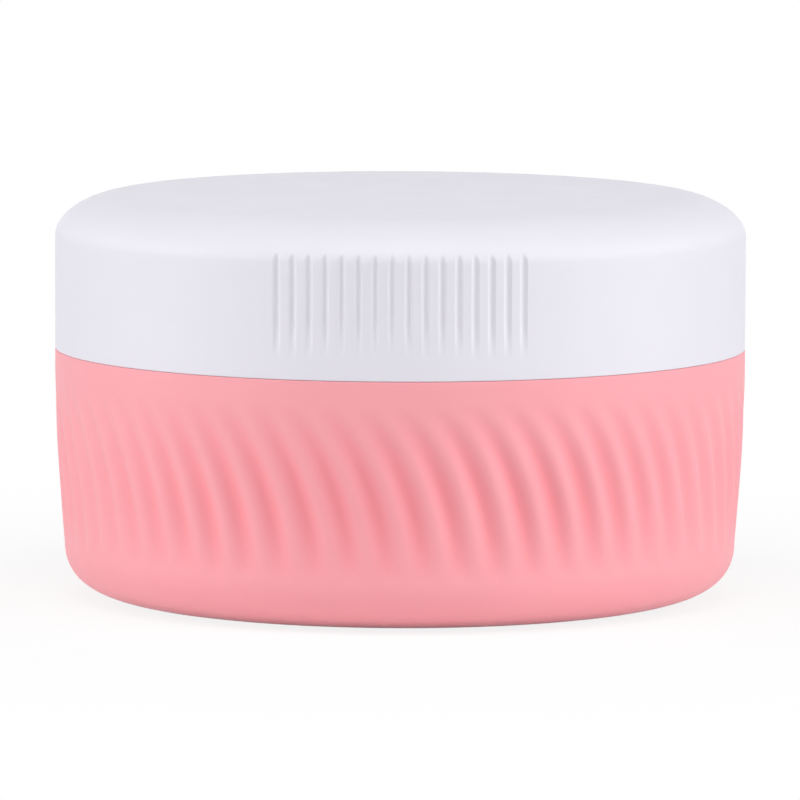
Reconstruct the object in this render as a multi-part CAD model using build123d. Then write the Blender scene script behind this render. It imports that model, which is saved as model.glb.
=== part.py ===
"""A travel pot with a screw lid, shown closed. It stands on Z = 0 with its axis on Z.

A soft ribbed cup grips the flange of a stiff neck ring under its inward lip. The ring carries the
screw thread and the rim. The double-walled lid turns onto it and presses a flat seal on the rim.
The lid's grip panel faces -Y. Every length is in millimetres and every angle in degrees.
"""

import math
import os

from build123d import *

# Soft cup
CUP_RADIUS = 26.0
CUP_HEIGHT = 18.75
CUP_WALL = 3.2
CUP_FLOOR = 2.2
CUP_LEAN = 0.7
CUP_RIM_ROUND = 0.25
FOOT_CORNER_WIDTH = 6.1
FOOT_CORNER_HEIGHT = 4.1
FOOT_RING_WIDTH = 3.6
FOOT_RECESS = 0.6
CAVITY_CORNER = 4.0
LIP_THICKNESS = 1.4
foot_handle_share = 0.655

# Slanted ribs of the cup: a wave in the wall that fades out at the band's foot and top, and leans
# more and more as it climbs. The band stands a hair inside the plain wall, as an insert in the
# mould leaves it. Of the shares, one is the height at which the ribs are deepest, two are slopes,
# and the last is how much of the growth in slope the whole band leans by, a half if it grows evenly
RIB_COUNT = 60
RIB_DEPTH = 0.5
RIB_TOP_MARGIN = 1.75
RIB_INSET = 0.02
RIB_PHASE = 10.2
RIB_ROWS = 10
RIB_WAVE_POINTS = 4
rib_deepest_share = 0.44
rib_foot_slope_share = 0.126
rib_top_slope_share = 0.732
rib_bend_share = 0.4

# Stiff neck ring
NECK_WALL = 1.6
NECK_SEAT_STEP = 0.9
FLANGE_REACH = 2.15
FLANGE_THICKNESS = 1.7
BEAD_REACH = 0.8
BEAD_HEIGHT = 0.7
BEAD_SLOPE = 0.35
RIM_ROUND = 0.3
SNUG_GAP = 0.05

# Keys of the cup, which stop the ring from turning in it
KEY_COUNT = 8
KEY_WIDTH = 3.0
KEY_REACH = 1.0

# Screw thread, right handed
THREAD_PITCH = 4.2
THREAD_DEPTH = 0.9
THREAD_ROOT_WIDTH = 1.5
THREAD_CREST_WIDTH = 0.7
NECK_THREAD_LEAD = 1.15
CAP_THREAD_LEAD = 1.58
THREAD_SIDE_GAP = 0.3
THREAD_FLANK_GAP = 0.2
THREAD_RUNOUT = 0.25
THREAD_FADE_TURNS = 0.12

# Outer lid
SEAM_GAP = 0.05
LID_HEIGHT = 11.5
LID_WALL = 1.6
LID_TOP = 1.5
LID_EDGE_ROUND = 0.1
SHOULDER_WIDTH = 4.8
SHOULDER_HEIGHT = 3.0
SNAP_REACH = 0.25
SNAP_HEIGHT = 0.5
shoulder_handle_share = 0.49

# Grip flutes of the outer lid: shallow round grooves that narrow and fade towards their foot
FLUTE_COUNT = 16
FLUTE_STEP = 2.7
FLUTE_RADIUS = 0.3
FLUTE_DEPTH = 0.15
FLUTE_TIP_DEPTH = 0.03
FLUTE_FOOT = 1.6
FLUTE_RUNOUT = 2.4

# Threaded inner cap
CAP_TOP = 1.2
CAP_WALL = 1.2
CAP_FLANGE = 1.0
CAP_FOOT_GAP = 0.2
CAP_SHOULDER_GAP = 0.2
CAP_SHOULDER_HEIGHT = 1.0
DRIVE_RIB_COUNT = 12
DRIVE_RIB_WIDTH = 1.2
DRIVE_RIB_REACH = 1.4

# Seal
SEAL_THICKNESS = 0.8
SEAL_WIDTH = 3.6
SEAL_SIDE_GAP = 0.1
SEAL_RIB_WIDTH = 1.0
SEAL_RIB_HEIGHT = 0.6

# How far cutters and joined pieces run past the faces that they meet
OVERRUN = 0.3

# Heights, from the foot up
floor_top = FOOT_RECESS + CUP_FLOOR
rib_band_top = CUP_HEIGHT - RIB_TOP_MARGIN
rim_foot = CUP_HEIGHT - CUP_RIM_ROUND
lip_underside = CUP_HEIGHT - LIP_THICKNESS
flange_foot = lip_underside - FLANGE_THICKNESS
bead_foot = CUP_HEIGHT + SNUG_GAP
bead_top = bead_foot + BEAD_HEIGHT
lid_foot = CUP_HEIGHT + SEAM_GAP
lid_top = lid_foot + LID_HEIGHT
shoulder_foot = lid_top - SHOULDER_HEIGHT
lid_ceiling = lid_top - LID_TOP
cap_ceiling = lid_ceiling - CAP_TOP
cap_foot = bead_top + CAP_FOOT_GAP
rim_top = cap_ceiling - SEAL_THICKNESS

# Threads: the height of each ridge's middle where it starts, and the turns up to its plain lead
neck_thread_foot = bead_top + THREAD_RUNOUT + THREAD_ROOT_WIDTH / 2
cap_thread_foot = cap_foot + THREAD_RUNOUT + THREAD_ROOT_WIDTH / 2
neck_thread_turns = (rim_top - NECK_THREAD_LEAD - neck_thread_foot) / THREAD_PITCH
cap_thread_turns = (rim_top - CAP_THREAD_LEAD - cap_thread_foot) / THREAD_PITCH

# Radii of the lid, from the outside in, and of the neck that it leaves room for
lid_disc_radius = CUP_RADIUS - SHOULDER_WIDTH
lid_bore_radius = CUP_RADIUS - LID_WALL
cap_radius = lid_bore_radius - DRIVE_RIB_REACH
cap_bore_radius = cap_radius - CAP_WALL
seal_radius = cap_bore_radius - SEAL_SIDE_GAP
neck_radius = cap_bore_radius - THREAD_SIDE_GAP - THREAD_DEPTH
neck_bore_radius = neck_radius - NECK_WALL

# Radii of the neck ring's foot and of the cup that grips it
seat_radius = neck_radius + NECK_SEAT_STEP
bead_radius = seat_radius + BEAD_REACH
flange_radius = seat_radius + FLANGE_REACH
groove_radius = flange_radius + SNUG_GAP
lip_radius = seat_radius + SNUG_GAP
cavity_radius = CUP_RADIUS - CUP_WALL


def spin(*edges):
    """Solid of revolution about Z from the edges of its half section, given as (radius, height)."""
    return revolve(Plane.XZ * make_face(Curve() + list(edges)), Axis.Z)


def spin_points(*points):
    """Solid of revolution of a half section that has straight sides only."""
    return spin(Polyline(*points, close=True))


def soft_corner(start, corner, end, share):
    """Curve that leaves start towards the sharp corner and comes into end from it."""
    handles = [Vector(*point) + (Vector(*corner) - Vector(*point)) * share for point in (start, end)]
    return Bezier(Vector(*start), handles[0], handles[1], Vector(*end))


def around(piece, count):
    """Copies of a piece at equal steps around Z."""
    return [piece.rotate(Axis.Z, 360 / count * number) for number in range(count)]


def wall_radius(height):
    """Radius of the cup's plain wall: an upright arc, plumb at the rim, drawn in by CUP_LEAN."""
    arc_height = rim_foot - FOOT_CORNER_HEIGHT
    arc_radius = (arc_height**2 + CUP_LEAN**2) / (2 * CUP_LEAN)
    return CUP_RADIUS - arc_radius + math.sqrt(arc_radius**2 - (rim_foot - height) ** 2)


def rib_row(height):
    """Closed wavy section of the ribbed band, one smooth edge for each rib."""
    climb = height - FOOT_CORNER_HEIGHT
    climb_share = climb / (rib_band_top - FOOT_CORNER_HEIGHT)
    bend_share = (rib_top_slope_share - rib_foot_slope_share) * rib_bend_share
    lean = climb * (rib_foot_slope_share + bend_share * climb_share ** (1 / rib_bend_share - 1))
    valley_angle = math.radians(RIB_PHASE - 90) - lean / CUP_RADIUS
    depth = RIB_DEPTH * math.sin(math.pi * climb_share ** math.log(1 / 2, rib_deepest_share))
    ridge_radius = wall_radius(height) - RIB_INSET
    step = 2 * math.pi / RIB_COUNT
    edges = []
    for rib in range(RIB_COUNT):
        first_angle = valley_angle + step * (rib + 1 / 2)
        angles = [first_angle + step * point / RIB_WAVE_POINTS for point in range(RIB_WAVE_POINTS + 1)]
        radii = [ridge_radius - depth * (1 + math.cos(RIB_COUNT * (a - valley_angle))) / 2 for a in angles]
        points = [Vector(r * math.cos(a), r * math.sin(a), height) for r, a in zip(radii, angles)]
        ends = [Vector(-math.sin(a), math.cos(a), 0) for a in (angles[0], angles[-1])]
        edges.append(Edge.make_spline(points, tangents=ends))
    return Wire(edges)


def rib_band():
    """Ribbed stretch of the cup, as a solid plug."""
    band_height = rib_band_top - FOOT_CORNER_HEIGHT
    heights = [FOOT_CORNER_HEIGHT + band_height * row / (RIB_ROWS - 1) for row in range(RIB_ROWS)]
    return Solid.make_loft([rib_row(height) for height in heights])


def flange_keys(shrink):
    """Blocks at the flange's edge: the cup's keys, or with no shrink the ring's notches."""
    block = Box(
        KEY_REACH + OVERRUN,
        KEY_WIDTH - 2 * shrink,
        FLANGE_THICKNESS,
        align=(Align.MIN, Align.CENTER, Align.MIN),
    )
    return around(Pos(flange_radius - KEY_REACH + shrink, 0, flange_foot) * block, KEY_COUNT)


def silicone_body():
    """Soft cup: ribbed wall, rounded foot, recessed base, and the lip that holds the neck ring."""
    foot_radius = CUP_RADIUS - CUP_LEAN
    ring_radius = foot_radius - FOOT_CORNER_WIDTH
    recess_radius = ring_radius - FOOT_RING_WIDTH
    foot = spin(
        Polyline((0, FOOT_CORNER_HEIGHT), (0, FOOT_RECESS), (recess_radius, FOOT_RECESS)),
        Polyline((recess_radius, FOOT_RECESS), (recess_radius, 0), (ring_radius, 0)),
        soft_corner(
            (ring_radius, 0),
            (foot_radius, 0),
            (foot_radius, FOOT_CORNER_HEIGHT),
            foot_handle_share,
        ),
        Line((foot_radius, FOOT_CORNER_HEIGHT), (0, FOOT_CORNER_HEIGHT)),
    )
    band_top_radius = wall_radius(rib_band_top)
    middle_height = (rib_band_top + rim_foot) / 2
    head = spin(
        Polyline((0, CUP_HEIGHT), (0, rib_band_top), (band_top_radius, rib_band_top)),
        ThreePointArc(
            (band_top_radius, rib_band_top),
            (wall_radius(middle_height), middle_height),
            (CUP_RADIUS, rim_foot),
        ),
        RadiusArc((CUP_RADIUS, rim_foot), (CUP_RADIUS - CUP_RIM_ROUND, CUP_HEIGHT), -CUP_RIM_ROUND),
        Line((CUP_RADIUS - CUP_RIM_ROUND, CUP_HEIGHT), (0, CUP_HEIGHT)),
    )
    corner_start = cavity_radius - CAVITY_CORNER
    corner_top = floor_top + CAVITY_CORNER
    hollow = spin(
        Polyline((0, CUP_HEIGHT), (0, floor_top), (corner_start, floor_top)),
        RadiusArc((corner_start, floor_top), (cavity_radius, corner_top), -CAVITY_CORNER),
        Polyline(
            (cavity_radius, corner_top),
            (cavity_radius, flange_foot),
            (groove_radius, flange_foot),
            (groove_radius, lip_underside),
            (lip_radius, lip_underside),
            (lip_radius, CUP_HEIGHT),
            (0, CUP_HEIGHT),
        ),
    )
    return foot + rib_band() + head - hollow + flange_keys(SNUG_GAP)


def helix_edge(radius, end_radius, height, first_turn, turns):
    """Stretch of a right-handed helix whose radius may change evenly on the way."""
    rise = THREAD_PITCH * turns
    cone = math.atan2(end_radius - radius, rise)
    edge = Edge.make_helix(
        THREAD_PITCH / math.cos(cone),
        rise,
        radius,
        center=(0, 0, height + THREAD_PITCH * first_turn),
        angle=math.degrees(cone),
    )
    return edge.rotate(Axis.Z, 360 * first_turn)


def thread_ridge(root_radius, side, first_height, turns):
    """Helical ridge, outwards for side 1 and inwards for -1, that rises from its wall and sinks again.

    Its root is sunk by OVERRUN in the wall that carries it.
    """
    sunk = root_radius - side * OVERRUN
    buried = root_radius - side * OVERRUN / 2
    crest = root_radius + side * THREAD_DEPTH
    half_crest = THREAD_CREST_WIDTH / 2
    flank_share = (THREAD_ROOT_WIDTH - THREAD_CREST_WIDTH) / (2 * THREAD_DEPTH)
    half_sunk = half_crest + flank_share * (THREAD_DEPTH + OVERRUN)
    faces = []
    caps = []
    for first, length, start, end in (
        (0, THREAD_FADE_TURNS, buried, crest),
        (THREAD_FADE_TURNS, turns - 2 * THREAD_FADE_TURNS, crest, crest),
        (turns - THREAD_FADE_TURNS, THREAD_FADE_TURNS, crest, buried),
    ):
        corners = [(sunk, sunk, -half_sunk), (start, end, -half_crest)]
        corners += [(start, end, half_crest), (sunk, sunk, half_sunk)]
        edges = [helix_edge(a, b, first_height + rise, first, length) for a, b, rise in corners]
        faces += [Face.make_surface_from_curves(*pair) for pair in zip(edges, edges[1:] + edges[:1])]
        caps += [[edge @ 0 for edge in edges], [edge @ 1 for edge in edges]]
    faces += [Face(Wire.make_polygon(points, close=True)) for points in (caps[0], caps[-1])]
    return Solid(Shell(faces))


def thread_collar():
    """Stiff neck ring: flange under the cup's lip, retaining bead, thread and sealing rim."""
    ring = spin_points(
        (neck_bore_radius, flange_foot),
        (flange_radius, flange_foot),
        (flange_radius, lip_underside),
        (seat_radius, lip_underside),
        (seat_radius, bead_foot),
        (bead_radius, bead_foot),
        (bead_radius, bead_top - BEAD_SLOPE),
        (bead_radius - BEAD_SLOPE, bead_top),
        (neck_radius, bead_top),
        (neck_radius, rim_top - RIM_ROUND),
        (neck_radius - RIM_ROUND, rim_top),
        (neck_bore_radius + RIM_ROUND, rim_top),
        (neck_bore_radius, rim_top - RIM_ROUND),
    )
    ridge = thread_ridge(neck_radius, 1, neck_thread_foot, neck_thread_turns)
    return ring - flange_keys(0) + ridge


def flute_cutters():
    """Rods with a tapered foot that cut the lid's grip flutes, centred on the front."""
    tip = lid_foot + FLUTE_FOOT
    foot = tip + FLUTE_RUNOUT
    outset = FLUTE_RADIUS - FLUTE_DEPTH
    upwards = (Align.CENTER, Align.CENTER, Align.MIN)
    runout = Pos(0, 0, tip) * Cone(outset + FLUTE_TIP_DEPTH, FLUTE_RADIUS, FLUTE_RUNOUT, align=upwards)
    rod = Pos(0, 0, foot) * Cylinder(FLUTE_RADIUS, lid_top - foot, align=upwards)
    cutter = Pos(0, -CUP_RADIUS - outset, 0) * (runout + rod)
    middle = (FLUTE_COUNT - 1) / 2
    return [cutter.rotate(Axis.Z, FLUTE_STEP * (number - middle)) for number in range(FLUTE_COUNT)]


def lid_shell():
    """Outer lid: flush wall with grip flutes, soft shoulder, flat top, and a snap bead inside."""
    edge_radius = CUP_RADIUS - LID_EDGE_ROUND
    edge_top = lid_foot + LID_EDGE_ROUND
    snap_top = cap_foot
    snap_foot = snap_top - SNAP_HEIGHT
    shell = spin(
        Line((lid_bore_radius, lid_foot), (edge_radius, lid_foot)),
        RadiusArc((edge_radius, lid_foot), (CUP_RADIUS, edge_top), -LID_EDGE_ROUND),
        Line((CUP_RADIUS, edge_top), (CUP_RADIUS, shoulder_foot)),
        soft_corner(
            (CUP_RADIUS, shoulder_foot),
            (CUP_RADIUS, lid_top),
            (lid_disc_radius, lid_top),
            shoulder_handle_share,
        ),
        Polyline((lid_disc_radius, lid_top), (0, lid_top), (0, lid_ceiling), (lid_disc_radius, lid_ceiling)),
        soft_corner(
            (lid_disc_radius, lid_ceiling),
            (lid_bore_radius, lid_ceiling),
            (lid_bore_radius, shoulder_foot),
            shoulder_handle_share,
        ),
        Polyline(
            (lid_bore_radius, shoulder_foot),
            (lid_bore_radius, snap_top),
            (lid_bore_radius - SNAP_REACH, (snap_top + snap_foot) / 2),
            (lid_bore_radius, snap_foot),
            (lid_bore_radius, lid_foot),
        ),
    )
    return shell - flute_cutters()


def drive_ribs():
    """Upright ribs on the inner cap that reach the outer lid, so that both turn together."""
    foot = cap_foot + CAP_FLANGE - OVERRUN
    reach = lid_bore_radius - SNUG_GAP - cap_radius
    rib = Box(
        reach + OVERRUN,
        DRIVE_RIB_WIDTH,
        lid_ceiling - SHOULDER_HEIGHT - foot,
        align=(Align.MIN, Align.CENTER, Align.MIN),
    )
    return around(Pos(cap_radius - OVERRUN, 0, foot) * rib, DRIVE_RIB_COUNT)


def lid_inner_cap():
    """Threaded inner cap: top plate, skirt, flange over the snap bead, drive ribs and thread."""
    top_radius = lid_disc_radius - CAP_SHOULDER_GAP
    flange_edge = lid_bore_radius - SNUG_GAP
    locating_radius = seal_radius - SEAL_WIDTH - SEAL_SIDE_GAP
    cap = spin_points(
        (0, cap_ceiling),
        (locating_radius - SEAL_RIB_WIDTH, cap_ceiling),
        (locating_radius - SEAL_RIB_WIDTH, cap_ceiling - SEAL_RIB_HEIGHT),
        (locating_radius, cap_ceiling - SEAL_RIB_HEIGHT),
        (locating_radius, cap_ceiling),
        (cap_bore_radius, cap_ceiling),
        (cap_bore_radius, cap_foot),
        (flange_edge, cap_foot),
        (flange_edge, cap_foot + CAP_FLANGE),
        (cap_radius, cap_foot + CAP_FLANGE),
        (cap_radius, lid_ceiling - CAP_SHOULDER_HEIGHT),
        (top_radius, lid_ceiling),
        (0, lid_ceiling),
    )
    below_neck = (THREAD_ROOT_WIDTH + THREAD_CREST_WIDTH) / 2 + THREAD_FLANK_GAP
    start_turns = (cap_thread_foot + below_neck - neck_thread_foot) / THREAD_PITCH
    ridge = thread_ridge(cap_bore_radius, -1, cap_thread_foot, cap_thread_turns)
    return cap + drive_ribs() + ridge.rotate(Axis.Z, 360 * start_turns)


def sealing_gasket():
    """Flat ring seal under the inner cap's plate, pressed on the neck's rim."""
    inner_radius = seal_radius - SEAL_WIDTH
    return spin_points(
        (inner_radius, rim_top),
        (seal_radius, rim_top),
        (seal_radius, cap_ceiling),
        (inner_radius, cap_ceiling),
    )


NODES = [silicone_body, thread_collar, lid_shell, lid_inner_cap, sealing_gasket]


def main():
    """Write one file for each piece."""
    os.makedirs("parts", exist_ok=True)
    for build in NODES:
        export_step(build(), f"parts/{build.__name__}.step")


main()
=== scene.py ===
"""Looks of the travel pot: ribbed silicone cup, fluted screw lid and seal over the CAD frame."""

import math

import bpy
from mathutils import Matrix, Vector


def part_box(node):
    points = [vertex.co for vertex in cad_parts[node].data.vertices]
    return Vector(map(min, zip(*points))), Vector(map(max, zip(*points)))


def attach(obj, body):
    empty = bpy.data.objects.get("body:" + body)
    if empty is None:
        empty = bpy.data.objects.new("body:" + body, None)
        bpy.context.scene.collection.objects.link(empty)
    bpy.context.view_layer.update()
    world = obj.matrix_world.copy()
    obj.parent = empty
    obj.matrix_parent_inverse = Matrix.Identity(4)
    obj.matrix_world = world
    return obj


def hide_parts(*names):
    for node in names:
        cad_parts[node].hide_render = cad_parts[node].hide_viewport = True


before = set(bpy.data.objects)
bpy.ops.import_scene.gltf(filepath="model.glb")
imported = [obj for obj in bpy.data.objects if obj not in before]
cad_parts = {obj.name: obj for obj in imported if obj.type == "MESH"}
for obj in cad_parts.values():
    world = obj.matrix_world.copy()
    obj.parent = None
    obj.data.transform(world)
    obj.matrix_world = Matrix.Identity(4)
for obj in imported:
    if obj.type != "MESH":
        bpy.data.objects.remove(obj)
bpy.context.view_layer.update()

MM = 0.001


def heights(node):
    """Lowest and highest point of a CAD part, in millimetres."""
    return [corner.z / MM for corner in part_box(node)]


# Sizes of the soft cup, in millimetres
CUP_RADIUS = 26.0
CUP_HEIGHT = heights("silicone_body")[1]
CUP_LEAN = 0.7
CUP_RIM_ROUND = 0.25
CUP_SKIN_RADIUS = 24.5
FOOT_RADIUS = CUP_RADIUS - CUP_LEAN
FOOT_CORNER_HEIGHT = 4.1
FOOT_CORNER_SHARE = 0.655
FOOT_RING = (15.6, 19.2)
FOOT_RECESS = 0.6
FOOT_RECESS_ROUND = 0.2
FLOOR_TOP = 2.8
CAVITY_RADIUS = 22.8
CAVITY_CORNER = 4.0
GROOVE_RADIUS = 23.7
GROOVE_FOOT = heights("thread_collar")[0]
GROOVE_ROUND = 0.1
LIP_RADIUS = 21.55
LIP_THICKNESS = 1.4
LIP_ROUND = 0.15
BAND_TOP = 17.0

# Sizes of the lid
LID_FOOT, LID_TOP = heights("lid_shell")
LID_TOP_THICKNESS = 1.5
LID_CEILING = LID_TOP - LID_TOP_THICKNESS
LID_BORE = 24.4
LID_BORE_ROUND = 0.12
LID_EDGE_ROUND = 0.05
LID_SKIN_RADIUS = 25.0
SNAP_TOP = heights("lid_inner_cap")[0]
SNAP_HEIGHT = 0.5
SNAP_REACH = 0.25
SNAP_FOOT_ROUND = 0.05
SNAP_CREST_ROUND = 0.06
SHOULDER_HEIGHT = 3.0
SHOULDER_FOOT = LID_TOP - SHOULDER_HEIGHT
SHOULDER_SHARE = 0.49
DISC_RADIUS = 21.2
DISC_HOLD = 0.3

# The soft rim swells up to the lid's edge, so that the seam is a closed line
SEAM_GAP = 0.015
RIM_TOP = LID_FOOT - SEAM_GAP
RIM_ROUND = 0.12

# Grip flutes of the lid: angles in degrees
FLUTE_COUNT = 16
FLUTE_STEP = 2.7
FLUTE_HALF_WIDTH = 0.28
FLUTE_DEPTH = 0.18
FLUTE_TIP_RISE = 1.6
FLUTE_TIP = LID_FOOT + FLUTE_TIP_RISE
FLUTE_RUNOUT = 2.4
FLUTE_EDGE_SOFTNESS = 0.12

# Ribs of the cup: slopes are sideways run for each millimetre of climb, the phase is in degrees
RIB_COUNT = 60
RIB_DEPTH = 0.4
RIB_PHASE = 10.2
RIB_DEEPEST_SHARE = 0.44
RIB_FOOT_SLOPE = 0.126
RIB_TOP_SLOPE = 0.732
RIB_BEND_SHARE = 0.4

SEAL_RADII = (18.1, 21.7)
SEAL_HEIGHTS = heights("sealing_gasket")
SEAL_ROUND = 0.12

# How finely the meshes are cut: points, and degrees on the lid's plain wall
POINTS_PER_RIB = 12
POINTS_PER_HALF_FLUTE = 8
POINTS_BESIDE_FLUTE = 3
PLAIN_WALL_STEP = 1.5
POINTS_ROUND_SEAL = 180

# Share of the way to the sharp corner at which a Bezier's handles draw a quarter circle
QUARTER_CIRCLE = 0.55

# Floor, lamps and camera, in metres
FLOOR_RADIUS = 3
FLOOR_DROP = 0.00002
LAMP_DISTANCE = 0.8
LAMP_SIZE = 0.6
LAMP_AIM_HEIGHT = 0.015
CAMERA_AIM_HEIGHT = 0.01472


# Half sections, as (radius, height) points in millimetres


def soft_corner(start, corner, end, share, steps):
    """Cubic Bezier from start to end with both handles that share of the way to the sharp corner."""
    handles = [[p + (c - p) * share for p, c in zip(point, corner)] for point in (start, end)]
    points = []
    for step in range(steps + 1):
        t = step / steps
        weights = ((1 - t) ** 3, 3 * t * (1 - t) ** 2, 3 * t**2 * (1 - t), t**3)
        corners = (start, handles[0], handles[1], end)
        points.append(tuple(sum(w * c[axis] for w, c in zip(weights, corners)) for axis in (0, 1)))
    return points


def eased(corners, steps=3, hold=0.06):
    """Points of a line whose corners, given as (radius, height, ease), are rounded off.

    An open line starts and ends at a corner whose ease is 0. A point held just past each rounding
    keeps the shading of the flats flat.
    """
    points = []
    for number, (radius, height, ease) in enumerate(corners):
        here = Vector((radius, height))
        if not ease:
            points.append(tuple(here))
            continue
        before = (Vector(corners[number - 1][:2]) - here).normalized()
        after = (Vector(corners[(number + 1) % len(corners)][:2]) - here).normalized()
        points.append(tuple(here + before * (ease + hold)))
        for step in range(steps + 1):
            t = step / steps
            points.append(tuple(here + before * ease * (1 - t) ** 2 + after * ease * t**2))
        points.append(tuple(here + after * (ease + hold)))
    return points


def rows(first, last, count):
    """Heights at even steps, both ends included."""
    return [first + (last - first) * number / count for number in range(count + 1)]


def cup_wall_radius(height):
    """Radius of the cup's plain wall: an upright arc that is plumb just under the rim."""
    arc_top = CUP_HEIGHT - CUP_RIM_ROUND
    arc_radius = ((arc_top - FOOT_CORNER_HEIGHT) ** 2 + CUP_LEAN**2) / (2 * CUP_LEAN)
    below = max(arc_top - height, 0)
    return CUP_RADIUS - arc_radius + math.sqrt(arc_radius**2 - below**2)


def cup_section():
    """From the middle of the underside, up the wall, over the lip and down to the cavity's floor."""
    ring_inner, ring_outer = FOOT_RING
    points = eased(
        [
            (0, FOOT_RECESS, 0),
            (ring_inner, FOOT_RECESS, FOOT_RECESS_ROUND),
            (ring_inner, 0, FOOT_RECESS_ROUND),
            (ring_outer, 0, 0),
        ]
    )
    foot_corner = (FOOT_RADIUS, 0)
    foot_end = (FOOT_RADIUS, FOOT_CORNER_HEIGHT)
    points += soft_corner((ring_outer, 0), foot_corner, foot_end, FOOT_CORNER_SHARE, steps=18)[1:]
    rim_foot = RIM_TOP - RIM_ROUND
    wall_rows = rows(FOOT_CORNER_HEIGHT, BAND_TOP, 44)[1:] + rows(BAND_TOP, rim_foot, 4)[1:]
    points += [(cup_wall_radius(z), z) for z in wall_rows]
    rim_corner = (CUP_RADIUS, RIM_TOP)
    rim_edge = (CUP_RADIUS - RIM_ROUND, RIM_TOP)
    points += soft_corner((CUP_RADIUS, rim_foot), rim_corner, rim_edge, QUARTER_CIRCLE, steps=5)[1:-1]
    groove_top = CUP_HEIGHT - LIP_THICKNESS
    cavity_corner_top = (CAVITY_RADIUS, FLOOR_TOP + CAVITY_CORNER)
    points += eased(
        [
            (*rim_edge, 0),
            (LIP_RADIUS, RIM_TOP, LIP_ROUND),
            (LIP_RADIUS, groove_top, GROOVE_ROUND),
            (GROOVE_RADIUS, groove_top, GROOVE_ROUND),
            (GROOVE_RADIUS, GROOVE_FOOT, GROOVE_ROUND),
            (CAVITY_RADIUS, GROOVE_FOOT, GROOVE_ROUND),
            (*cavity_corner_top, 0),
        ]
    )
    cavity_corner = (CAVITY_RADIUS, FLOOR_TOP)
    cavity_corner_end = (CAVITY_RADIUS - CAVITY_CORNER, FLOOR_TOP)
    points += soft_corner(cavity_corner_top, cavity_corner, cavity_corner_end, QUARTER_CIRCLE, steps=8)[1:]
    return points + [(0, FLOOR_TOP)]


def lid_section():
    """From the middle of the ceiling, down the bore, round the skirt's edge and up to the flat top."""
    points = [(0, LID_CEILING)]
    ceiling_edge = (DISC_RADIUS, LID_CEILING)
    bore_corner = (LID_BORE, LID_CEILING)
    bore_top = (LID_BORE, SHOULDER_FOOT)
    points += soft_corner(ceiling_edge, bore_corner, bore_top, SHOULDER_SHARE, steps=10)[:-1]
    points += eased(
        [
            (*bore_top, 0),
            (LID_BORE, SNAP_TOP, SNAP_FOOT_ROUND),
            (LID_BORE - SNAP_REACH, SNAP_TOP - SNAP_HEIGHT / 2, SNAP_CREST_ROUND),
            (LID_BORE, SNAP_TOP - SNAP_HEIGHT, SNAP_FOOT_ROUND),
            (LID_BORE, LID_FOOT, LID_BORE_ROUND),
            (CUP_RADIUS, LID_FOOT, LID_EDGE_ROUND),
            (CUP_RADIUS, FLUTE_TIP, 0),
        ]
    )
    runout_top = FLUTE_TIP + FLUTE_RUNOUT
    wall_rows = rows(FLUTE_TIP, runout_top, 20)[1:] + rows(runout_top, SHOULDER_FOOT, 5)[1:]
    points += [(CUP_RADIUS, z) for z in wall_rows]
    wall_top = (CUP_RADIUS, SHOULDER_FOOT)
    disc_edge = (DISC_RADIUS, LID_TOP)
    points += soft_corner(wall_top, (CUP_RADIUS, LID_TOP), disc_edge, SHOULDER_SHARE, steps=40)[1:]
    return points + [(DISC_RADIUS - DISC_HOLD, LID_TOP), (0, LID_TOP)]


def seal_section():
    """Flat ring with slightly rounded edges, as a closed loop."""
    inner, outer = SEAL_RADII
    foot, top = SEAL_HEIGHTS
    corners = ((inner, foot), (outer, foot), (outer, top), (inner, top))
    return eased([(*corner, SEAL_ROUND) for corner in corners])


# Meshes


def spun_piece(name, section, angles, closed=False):
    """Mesh of a half section turned about Z through the given angles, which go once round.

    A section point on the axis becomes one vertex, so its pole is closed.
    """
    vertices = []
    rings = []
    for radius, height in section:
        if radius == 0:
            rings.append([len(vertices)] * len(angles))
            vertices.append((0, 0, height * MM))
            continue
        rings.append([len(vertices) + number for number in range(len(angles))])
        vertices += [(radius * math.cos(a) * MM, radius * math.sin(a) * MM, height * MM) for a in angles]
    pairs = list(zip(rings, rings[1:]))
    if closed:
        pairs.append((rings[-1], rings[0]))
    faces = []
    for low, high in pairs:
        for number in range(len(angles)):
            after = (number + 1) % len(angles)
            corners = [low[number], low[after], high[after], high[number]]
            faces.append(list(dict.fromkeys(corners)))
    mesh = bpy.data.meshes.new(name)
    mesh.from_pydata(vertices, [], faces)
    mesh.shade_smooth()
    piece = bpy.data.objects.new(name, mesh)
    bpy.context.scene.collection.objects.link(piece)
    return piece


def even_angles(count):
    """Angles at equal steps, once round."""
    return [2 * math.pi * number / count for number in range(count)]


def lid_angles():
    """Angles round the lid: close together across each flute, wide apart on the plain wall."""
    half = math.degrees(FLUTE_HALF_WIDTH / CUP_RADIUS)
    reach = POINTS_PER_HALF_FLUTE + POINTS_BESIDE_FLUTE
    across = [half * number / POINTS_PER_HALF_FLUTE for number in range(-reach, reach + 1)]
    across.append(FLUTE_STEP / 2)
    angles = []
    for number in range(FLUTE_COUNT):
        middle = FLUTE_STEP * (number - (FLUTE_COUNT - 1) / 2)
        angles += [middle + offset for offset in across]
    last = angles[-1]
    plain = 360 + angles[0] - last
    steps = round(plain / PLAIN_WALL_STEP)
    angles += [last + plain * number / steps for number in range(1, steps)]
    return [math.radians(angle - 90) for angle in angles]


# Node trees


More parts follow.
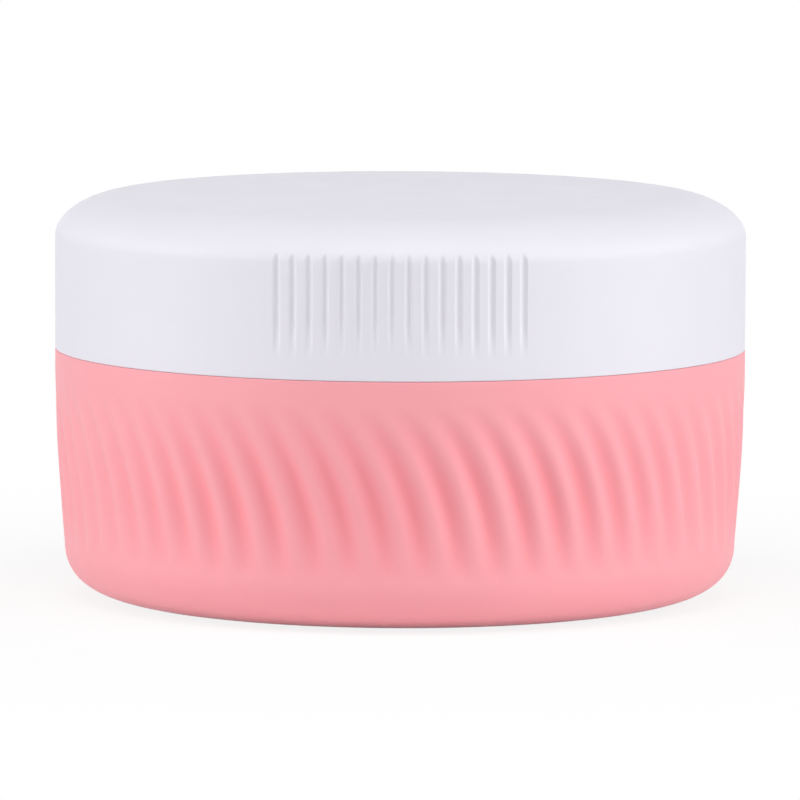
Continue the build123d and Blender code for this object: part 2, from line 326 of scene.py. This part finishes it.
class NodeWork:
    """A node tree with short ways to add nodes and feed their sockets."""

    def __init__(self, tree):
        self.tree = tree

    def add(self, kind):
        """New node of the given kind."""
        return self.tree.nodes.new(kind)

    def feed(self, socket, value):
        """Links an output to a socket, or sets the socket to a plain value."""
        if isinstance(value, bpy.types.NodeSocket):
            self.tree.links.new(value, socket)
        else:
            socket.default_value = value

    def worked_out(self, kind, operation, values):
        """Outputs of a Math or Vector Math node of the given operation."""
        node = self.add(kind)
        node.operation = operation
        for socket, value in zip(node.inputs, values):
            self.feed(socket, value)
        return node.outputs

    def calc(self, operation, *values):
        """Result of the given operation on numbers."""
        return self.worked_out("ShaderNodeMath", operation, values)[0]

    def vector_calc(self, operation, *values):
        """Vector result of the given operation on vectors."""
        return self.worked_out("ShaderNodeVectorMath", operation, values)["Vector"]

    def vector_measure(self, operation, *values):
        """Number that the given operation on vectors gives."""
        return self.worked_out("ShaderNodeVectorMath", operation, values)["Value"]

    def spread(self, value, first, last, low=0, high=1):
        """The value's way from first to last as a way from low to high, held between them."""
        node = self.add("ShaderNodeMapRange")
        node.inputs["From Min"].default_value = first
        node.inputs["From Max"].default_value = last
        node.inputs["To Min"].default_value = low
        node.inputs["To Max"].default_value = high
        self.feed(node.inputs["Value"], value)
        return node.outputs["Result"]

    def end_in_mix(self, output_kind, fac, first, second):
        """Ends the tree in a mix of two shaders."""
        mix = self.add("ShaderNodeMixShader")
        for socket, value in zip(mix.inputs, (fac, first, second)):
            self.feed(socket, value)
        self.feed(self.add(output_kind).inputs["Surface"], mix.outputs[0])


# Geometry Nodes


class ShapeTree(NodeWork):
    """A Geometry Nodes tree that moves a piece's points by a rule, with named inputs for its sizes."""

    def __init__(self, name, inputs):
        super().__init__(bpy.data.node_groups.new(name, "GeometryNodeTree"))
        sockets = self.tree.interface
        sockets.new_socket("Geometry", in_out="OUTPUT", socket_type="NodeSocketGeometry")
        sockets.new_socket("Geometry", in_out="INPUT", socket_type="NodeSocketGeometry")
        self.identifiers = {}
        for label in inputs:
            socket = sockets.new_socket(label, in_out="INPUT", socket_type="NodeSocketFloat")
            self.identifiers[label] = socket.identifier
        self.entry = self.add("NodeGroupInput")
        self.exit = self.add("NodeGroupOutput")

    def size(self, label):
        """Output of a named input."""
        return self.entry.outputs[label]

    def place(self):
        """Each point's distance from the axis, angle about it, and height."""
        position = self.add("GeometryNodeInputPosition")
        split = self.add("ShaderNodeSeparateXYZ")
        self.feed(split.inputs[0], position.outputs[0])
        x, y, z = split.outputs
        squares = self.calc("ADD", self.calc("MULTIPLY", x, x), self.calc("MULTIPLY", y, y))
        return self.calc("SQRT", squares), self.calc("ARCTAN2", y, x), z

    def share_between(self, value, first, last):
        """How far the value lies from first to last, held between 0 and 1."""
        span = self.calc("SUBTRACT", last, first)
        share = self.calc("DIVIDE", self.calc("SUBTRACT", value, first), span)
        return self.calc("MINIMUM", self.calc("MAXIMUM", share, 0), 1)

    def cut_skin(self, radius, angle, z, depth):
        """Draws the points beyond the skin radius in by the depth, then ends the tree.

        The depth is kept on the points as the attribute "drawn_in", in metres, for the material.
        """
        outside = self.calc("GREATER_THAN", radius, self.size("Skin radius"))
        drawn_in = self.calc("MULTIPLY", depth, outside)
        new_radius = self.calc("SUBTRACT", radius, drawn_in)
        join = self.add("ShaderNodeCombineXYZ")
        self.feed(join.inputs[0], self.calc("MULTIPLY", new_radius, self.calc("COSINE", angle)))
        self.feed(join.inputs[1], self.calc("MULTIPLY", new_radius, self.calc("SINE", angle)))
        self.feed(join.inputs[2], z)
        keep = self.add("GeometryNodeStoreNamedAttribute")
        self.feed(keep.inputs["Geometry"], self.entry.outputs["Geometry"])
        self.feed(keep.inputs["Name"], "drawn_in")
        self.feed(keep.inputs["Value"], drawn_in)
        shift = self.add("GeometryNodeSetPosition")
        self.feed(shift.inputs["Geometry"], keep.outputs["Geometry"])
        self.feed(shift.inputs["Position"], join.outputs[0])
        realize = self.add("GeometryNodeRealizeInstances")
        self.feed(realize.inputs[0], shift.outputs[0])
        self.finish = self.add("GeometryNodeSetMaterial")
        self.feed(self.finish.inputs["Geometry"], realize.outputs[0])
        self.feed(self.exit.inputs[0], self.finish.outputs[0])

    def shaped(self, piece, sizes, material):
        """Runs the tree on a piece and gives the result as a plain mesh object of the same name."""
        self.feed(self.finish.inputs["Material"], material)
        modifier = piece.modifiers.new("shape", "NODES")
        modifier.node_group = self.tree
        for label, value in sizes.items():
            modifier[self.identifiers[label]] = value
        graph = bpy.context.evaluated_depsgraph_get()
        mesh = bpy.data.meshes.new_from_object(piece.evaluated_get(graph))
        piece.modifiers.clear()
        piece.data = mesh
        mesh.name = piece.name
        return piece


def rib_tree():
    """Slanted ribs: a wave round the wall that fades at the band's foot and top.

    The wall is twisted as it climbs, so that its rows of points run along the ribs.
    """
    tree = ShapeTree(
        "slanted_ribs",
        [
            "Rib count",
            "Rib depth",
            "Band foot",
            "Band top",
            "Deepest share",
            "Foot slope share",
            "Top slope share",
            "Bend share",
            "First valley",
            "Wall radius",
            "Skin radius",
        ],
    )
    radius, angle, z = tree.place()
    share = tree.share_between(z, tree.size("Band foot"), tree.size("Band top"))
    band_height = tree.calc("SUBTRACT", tree.size("Band top"), tree.size("Band foot"))
    climb = tree.calc("MULTIPLY", share, band_height)
    growth = tree.calc("SUBTRACT", tree.size("Top slope share"), tree.size("Foot slope share"))
    bend_power = tree.calc("SUBTRACT", tree.calc("DIVIDE", 1, tree.size("Bend share")), 1)
    bend = tree.calc("MULTIPLY", tree.size("Bend share"), tree.calc("POWER", share, bend_power))
    slope = tree.calc("MULTIPLY_ADD", growth, bend, tree.size("Foot slope share"))
    lean = tree.calc("DIVIDE", tree.calc("MULTIPLY", climb, slope), tree.size("Wall radius"))
    from_valley = tree.calc("SUBTRACT", angle, tree.size("First valley"))
    wave_angle = tree.calc("MULTIPLY", from_valley, tree.size("Rib count"))
    wave = tree.calc("MULTIPLY_ADD", tree.calc("COSINE", wave_angle), 0.5, 0.5)
    fade_power = tree.calc("LOGARITHM", 0.5, tree.size("Deepest share"))
    fade = tree.calc("SINE", tree.calc("MULTIPLY", tree.calc("POWER", share, fade_power), math.pi))
    depth = tree.calc("MULTIPLY", tree.calc("MULTIPLY", fade, tree.size("Rib depth")), wave)
    tree.cut_skin(radius, tree.calc("SUBTRACT", angle, lean), z, depth)
    return tree


def flute_tree():
    """Upright shallow flutes at the front, which fade out towards their foot."""
    tree = ShapeTree(
        "grip_flutes",
        [
            "Flute count",
            "Flute step",
            "Flute half width",
            "Flute depth",
            "Flute tip",
            "Run-out top",
            "Edge softness",
            "Front",
            "Wall radius",
            "Skin radius",
        ],
    )
    radius, angle, z = tree.place()
    turn = tree.calc("DIVIDE", tree.calc("SUBTRACT", angle, tree.size("Front")), tree.size("Flute step"))
    last = tree.calc("SUBTRACT", tree.size("Flute count"), 1)
    number = tree.calc("MULTIPLY_ADD", last, 0.5, turn)
    nearest = tree.calc("MINIMUM", tree.calc("MAXIMUM", tree.calc("ROUND", number), 0), last)
    turn_off = tree.calc("MULTIPLY", tree.calc("SUBTRACT", number, nearest), tree.size("Flute step"))
    off = tree.calc("ABSOLUTE", tree.calc("MULTIPLY", turn_off, tree.size("Wall radius")))
    share = tree.share_between(z, tree.size("Flute tip"), tree.size("Run-out top"))
    aside = tree.calc("DIVIDE", off, tree.size("Flute half width"))
    hollow = tree.calc("SUBTRACT", 1, tree.calc("MULTIPLY", aside, aside))
    depth = tree.calc("MULTIPLY", share, tree.size("Flute depth"))
    rod = tree.calc("SUBTRACT", tree.size("Wall radius"), tree.calc("MULTIPLY", hollow, depth))
    softness = tree.calc("MULTIPLY", share, tree.size("Edge softness"))
    cut = tree.calc("SMOOTH_MIN", radius, rod, softness)
    tree.cut_skin(radius, angle, z, tree.calc("SUBTRACT", radius, cut))
    return tree


# Materials


class Finish(NodeWork):
    """A node material on the piece's own Object coordinates, so that its pattern stays on the piece."""

    def __init__(self, name):
        self.material = bpy.data.materials.new(name)
        self.material.use_nodes = True
        super().__init__(self.material.node_tree)
        self.shader = self.tree.nodes["Principled BSDF"]
        self.coordinates = self.add("ShaderNodeTexCoord").outputs["Object"]

    def noise(self, grain, detail):
        """Noise whose features are about grain millimetres wide."""
        node = self.add("ShaderNodeTexNoise")
        node.inputs["Scale"].default_value = 1 / (grain * MM)
        node.inputs["Detail"].default_value = detail
        self.feed(node.inputs["Vector"], self.coordinates)
        return node.outputs["Fac"]

    def mixed(self, blend, fac, first, second):
        """Two colours mixed in the given way."""
        mix = self.add("ShaderNodeMix")
        mix.data_type = "RGBA"
        mix.blend_type = blend
        self.feed(mix.inputs["Factor"], fac)
        self.feed(mix.inputs["A"], first)
        self.feed(mix.inputs["B"], second)
        return mix.outputs["Result"]

    def blotched(self, fac, first, second):
        """Base colour that drifts between two close tints."""
        drift = self.mixed("MIX", fac, (*first, 1), (*second, 1))
        self.feed(self.shader.inputs["Base Color"], drift)

    def facing_viewer(self):
        """How squarely the round wall, ribs left aside, faces the viewer: 1 is head on, 0 edge on."""
        outward = self.vector_calc("MULTIPLY", self.coordinates, (1, 1, 0))
        to_viewer = self.add("ShaderNodeNewGeometry").outputs["Incoming"]
        return self.vector_measure("DOT_PRODUCT", self.vector_calc("NORMALIZE", outward), to_viewer)

    def painted_shade_in_valleys(self, depth, tint, shadeless_facing, clear):
        """Painted shade: base colour multiplied by a darker tint where the wall is drawn in by the given
        depth, so that the rib valleys look shaded.

        The painted shade fades as the wall turns away from the viewer: it is full where the wall's facing
        is clear or more, and gone where the facing is down to the lower level or less.
        """
        valley = self.add("ShaderNodeAttribute")
        valley.attribute_name = "drawn_in"
        share = self.spread(valley.outputs["Fac"], 0, depth * MM)
        fade = self.spread(self.facing_viewer(), shadeless_facing, clear)
        base = self.shader.inputs["Base Color"]
        plain = base.links[0].from_socket
        # Painted shade: the base colour times the darker tint, by valley depth and by facing
        self.feed(base, self.mixed("MULTIPLY", self.calc("MULTIPLY", share, fade), plain, (*tint, 1)))

    def uneven_gloss(self, fac, low, high):
        """Roughness that varies between low and high over the noise's usual range."""
        self.feed(self.shader.inputs["Roughness"], self.spread(fac, 0.3, 0.7, low, high))

    def bump(self, *layers):
        """Bumps of the given (height output, depth in millimetres), one over another."""
        normal = None
        for fac, depth in layers:
            node = self.add("ShaderNodeBump")
            node.inputs["Distance"].default_value = depth * MM
            self.feed(node.inputs["Height"], fac)
            if normal:
                self.feed(node.inputs["Normal"], normal)
            normal = node.outputs["Normal"]
        self.feed(self.shader.inputs["Normal"], normal)

    def set(self, **values):
        """Numbers that are the same all over, on the shader's own sockets."""
        for label, value in values.items():
            self.shader.inputs[label.replace("_", " ")].default_value = value


def soft_silicone():
    """Coral pink moulded silicone: matte, powdery at grazing angles, with a fine moulded grain."""
    finish = Finish("soft_silicone_coral")
    finish.blotched(finish.noise(9, 2), (0.925, 0.36, 0.405), (0.95, 0.391, 0.431))
    # Painted shade: the base colour is darker in the rib valleys, fading out where the wall turns edge-on
    # to the viewer
    finish.painted_shade_in_valleys(RIB_DEPTH, (0.985, 0.78, 0.79), shadeless_facing=0.4, clear=0.8)
    finish.uneven_gloss(finish.noise(2.5, 4), 0.54, 0.64)
    finish.bump((finish.noise(0.22, 2), 0.004), (finish.noise(1.4, 2), 0.006))
    finish.set(IOR=1.41, Subsurface_Weight=0.06)
    finish.set(Subsurface_Radius=(1.0, 0.45, 0.4), Subsurface_Scale=0.0012)
    finish.set(Sheen_Weight=0.21, Sheen_Roughness=0.45, Sheen_Tint=(1.0, 0.85, 0.87, 1))
    return finish.material


def lid_plastic():
    """Cool white moulded plastic with a satin skin."""
    finish = Finish("satin_lid_plastic")
    finish.blotched(finish.noise(11, 2), (0.752, 0.742, 0.812), (0.772, 0.762, 0.828))
    finish.uneven_gloss(finish.noise(3.5, 4), 0.5, 0.6)
    finish.bump((finish.noise(0.3, 2), 0.0012), (finish.noise(5, 1), 0.006))
    finish.set(IOR=1.46)
    return finish.material


def neck_plastic():
    """Milky plastic of the threaded neck, with a soft gloss."""
    finish = Finish("milky_neck_plastic")
    finish.blotched(finish.noise(6, 2), (0.78, 0.79, 0.80), (0.82, 0.83, 0.84))
    finish.uneven_gloss(finish.noise(3, 2), 0.4, 0.48)
    finish.bump((finish.noise(5, 1), 0.005))
    finish.set(IOR=1.49)
    return finish.material


def cap_plastic():
    """White plastic of the inner cap, plainer and duller than the outer lid."""
    finish = Finish("white_cap_plastic")
    finish.blotched(finish.noise(7, 2), (0.76, 0.76, 0.775), (0.80, 0.80, 0.815))
    finish.uneven_gloss(finish.noise(4, 2), 0.46, 0.54)
    finish.bump((finish.noise(6, 1), 0.006))
    finish.set(IOR=1.49)
    return finish.material


def seal_silicone():
    """Greyish clear silicone sheet of the seal."""
    finish = Finish("clear_seal_silicone")
    finish.blotched(finish.noise(4, 2), (0.62, 0.63, 0.635), (0.70, 0.71, 0.715))
    finish.uneven_gloss(finish.noise(1.2, 4), 0.38, 0.52)
    finish.bump((finish.noise(0.2, 2), 0.003))
    finish.set(IOR=1.41, Subsurface_Weight=0.3, Subsurface_Radius=(1.0, 1.0, 1.0), Subsurface_Scale=0.0012)
    return finish.material


# Pieces


def ribbed_cup():
    """Soft cup with its slanted ribs."""
    cup = spun_piece("ribbed_cup", cup_section(), even_angles(POINTS_PER_RIB * RIB_COUNT))
    sizes = {
        "Rib count": RIB_COUNT,
        "Rib depth": RIB_DEPTH * MM,
        "Band foot": FOOT_CORNER_HEIGHT * MM,
        "Band top": BAND_TOP * MM,
        "Deepest share": RIB_DEEPEST_SHARE,
        "Foot slope share": RIB_FOOT_SLOPE,
        "Top slope share": RIB_TOP_SLOPE,
        "Bend share": RIB_BEND_SHARE,
        "First valley": math.radians(RIB_PHASE - 90),
        "Wall radius": CUP_RADIUS * MM,
        "Skin radius": CUP_SKIN_RADIUS * MM,
    }
    return rib_tree().shaped(cup, sizes, soft_silicone())


def fluted_lid():
    """Outer lid with its panel of grip flutes."""
    lid = spun_piece("fluted_lid", lid_section(), lid_angles())
    sizes = {
        "Flute count": FLUTE_COUNT,
        "Flute step": math.radians(FLUTE_STEP),
        "Flute half width": FLUTE_HALF_WIDTH * MM,
        "Flute depth": FLUTE_DEPTH * MM,
        "Flute tip": FLUTE_TIP * MM,
        "Run-out top": (FLUTE_TIP + FLUTE_RUNOUT) * MM,
        "Edge softness": FLUTE_EDGE_SOFTNESS * MM,
        "Front": math.radians(-90),
        "Wall radius": CUP_RADIUS * MM,
        "Skin radius": LID_SKIN_RADIUS * MM,
    }
    return flute_tree().shaped(lid, sizes, lid_plastic())


def flat_seal():
    """Seal ring inside the lid."""
    seal = spun_piece("flat_seal", seal_section(), even_angles(POINTS_ROUND_SEAL), closed=True)
    seal.data.materials.append(seal_silicone())
    return seal


cup = ribbed_cup()
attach(cup, "pot")
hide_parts("silicone_body")

lid = fluted_lid()
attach(lid, "lid")
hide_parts("lid_shell")

seal = flat_seal()
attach(seal, "seal")
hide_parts("sealing_gasket")

for node, finish in (("thread_collar", neck_plastic()), ("lid_inner_cap", cap_plastic())):
    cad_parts[node].material_slots[0].material = finish


# Floor, light and camera


def seen_or_mirrored(work):
    """1 for camera rays and for rays that gloss or glass sends out, else 0."""
    path = work.add("ShaderNodeLightPath")
    total = path.outputs["Is Camera Ray"]
    for label in ("Is Glossy Ray", "Is Transmission Ray"):
        total = work.calc("ADD", total, path.outputs[label])
        total.node.use_clamp = True
    return total


def white_glow(work, strength):
    """White background light of the given strength."""
    glow = work.add("ShaderNodeBackground")
    glow.inputs["Color"].default_value = (1, 1, 1, 1)
    glow.inputs["Strength"].default_value = strength
    return glow.outputs[0]


def white_world(level):
    """White where it is seen or mirrored; elsewhere an even light of the given level."""
    world = bpy.data.worlds.new("white_room")
    world.use_nodes = True
    work = NodeWork(world.node_tree)
    work.tree.nodes.clear()
    light = white_glow(work, level)
    white = white_glow(work, 1)
    work.end_in_mix("ShaderNodeOutputWorld", seen_or_mirrored(work), light, white)
    bpy.context.scene.world = world


def white_floor(near_share, near_radius, far_radius):
    """Round paper floor that catches the shadow near the pot and is plain white further off.

    Where it is seen, near_share of its brightness is plain white up to near_radius millimetres
    from the middle, and all of it from far_radius on.
    """
    mesh = bpy.data.meshes.new("floor")
    angles = even_angles(96)
    outline = [(FLOOR_RADIUS * math.cos(a), FLOOR_RADIUS * math.sin(a), -FLOOR_DROP) for a in angles]
    mesh.from_pydata(outline, [], [list(range(len(outline)))])
    floor = bpy.data.objects.new("floor", mesh)
    bpy.context.scene.collection.objects.link(floor)
    material = bpy.data.materials.new("white_paper_floor")
    material.use_nodes = True
    work = NodeWork(material.node_tree)
    work.tree.nodes.clear()
    paper = work.add("ShaderNodeBsdfDiffuse")
    paper.inputs["Color"].default_value = (0.92, 0.92, 0.92, 1)
    white = work.add("ShaderNodeEmission")
    white.inputs["Strength"].default_value = 1
    away = work.vector_measure("LENGTH", work.add("ShaderNodeTexCoord").outputs["Object"])
    whiteness = work.spread(away, near_radius * MM, far_radius * MM, near_share)
    fac = work.calc("MULTIPLY", whiteness, seen_or_mirrored(work))
    work.end_in_mix("ShaderNodeOutputMaterial", fac, paper.outputs[0], white.outputs[0])
    mesh.materials.append(material)


def softbox(name, azimuth, elevation, level):
    """Square area lamp aimed at the pot. Level 1 would light a white face turned to it to full white."""
    lamp = bpy.data.lights.new(name, "AREA")
    lamp.shape = "SQUARE"
    lamp.size = LAMP_SIZE
    lamp.energy = level * (math.pi * LAMP_DISTANCE) ** 2
    a, e = math.radians(azimuth), math.radians(elevation)
    back = Vector((math.sin(a) * math.cos(e), -math.cos(a) * math.cos(e), math.sin(e)))
    item = bpy.data.objects.new(name, lamp)
    item.location = Vector((0, 0, LAMP_AIM_HEIGHT)) + back * LAMP_DISTANCE
    item.rotation_euler = back.to_track_quat("Z", "Y").to_euler()
    bpy.context.scene.collection.objects.link(item)


def photo_camera():
    """Long lens 0.7 m in front of the pot, 6 degrees above it and rolled by a sixth of a degree."""
    pitch, roll, distance = 0.1059, 0.003, 0.7
    data = bpy.data.cameras.new("camera")
    data.sensor_width = 36
    data.lens = 417.4
    data.clip_start, data.clip_end = 0.05, 20
    right = Vector((1, 0, 0))
    up = Vector((0, math.sin(pitch), math.cos(pitch)))
    back = Vector((0, -math.cos(pitch), math.sin(pitch)))
    rolled_right = right * math.cos(roll) + up * math.sin(roll)
    rolled_up = up * math.cos(roll) - right * math.sin(roll)
    turn = Matrix((rolled_right, rolled_up, back)).transposed().to_4x4()
    camera = bpy.data.objects.new("camera", data)
    camera.matrix_world = Matrix.Translation(Vector((0, 0, CAMERA_AIM_HEIGHT)) + back * distance) @ turn
    bpy.context.scene.collection.objects.link(camera)
    bpy.context.scene.camera = camera


white_world(0.12)
white_floor(near_share=0.85, near_radius=30, far_radius=80)
softbox("left_side", azimuth=-80, elevation=18, level=0.565)
softbox("right_side", azimuth=75, elevation=18, level=0.612)
softbox("top_front", azimuth=0, elevation=62, level=0.625)
photo_camera()
bpy.context.scene.view_settings.view_transform = "Standard"
